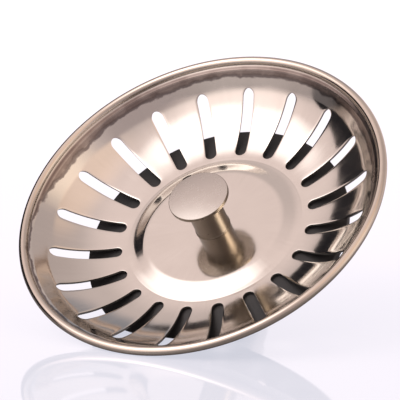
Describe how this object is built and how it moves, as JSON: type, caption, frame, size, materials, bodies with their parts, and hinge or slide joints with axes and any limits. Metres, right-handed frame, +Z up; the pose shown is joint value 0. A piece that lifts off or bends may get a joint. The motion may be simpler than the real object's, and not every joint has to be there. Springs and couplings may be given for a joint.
{
  "type": "sink stopper",
  "caption": "Kitchen sink basket strainer plug: slotted steel bowl with a rolled rim, pull knob, rubber seal and a centre post with sprung detent balls.",
  "frame": {"origin": "centre of the centre post's flat end, the lowest point of the plug when it is upright", "axes": "+Z up along the axis of the bowl, from the post's end to the knob; X along the cross bore of the detent balls"},
  "size_m": [0.0794, 0.0794, 0.0327],
  "materials": {
    "polished_steel": "pressed and polished stainless steel",
    "satin_steel": "turned, satin stainless steel",
    "turned_steel": "turned stainless steel",
    "ball_steel": "polished bearing steel",
    "black_rubber": "moulded matt rubber"
  },
  "bodies": {
    "plug": {"basket": "polished_steel", "knob": "satin_steel", "rubber_seal": "black_rubber", "seal_washer": "turned_steel", "lock_washer": "turned_steel", "post": "turned_steel", "detent_spring": "turned_steel"},
    "ball_left": {"detent_ball_left": "ball_steel"},
    "ball_right": {"detent_ball_right": "ball_steel"}
  },
  "joints": [
    {"name": "ball_left_press", "type": "slide", "parent": "plug", "child": "ball_left", "axis": [-1, 0, 0], "range_m": [-0.0007, 0], "stiffness_N_per_m": 600, "springref_m": 0.0015, "deforming": ["detent_spring"]},
    {"name": "ball_right_press", "type": "slide", "parent": "plug", "child": "ball_right", "axis": [1, 0, 0], "range_m": [-0.0007, 0], "stiffness_N_per_m": 600, "springref_m": 0.0015, "deforming": ["detent_spring"]}
  ]
}
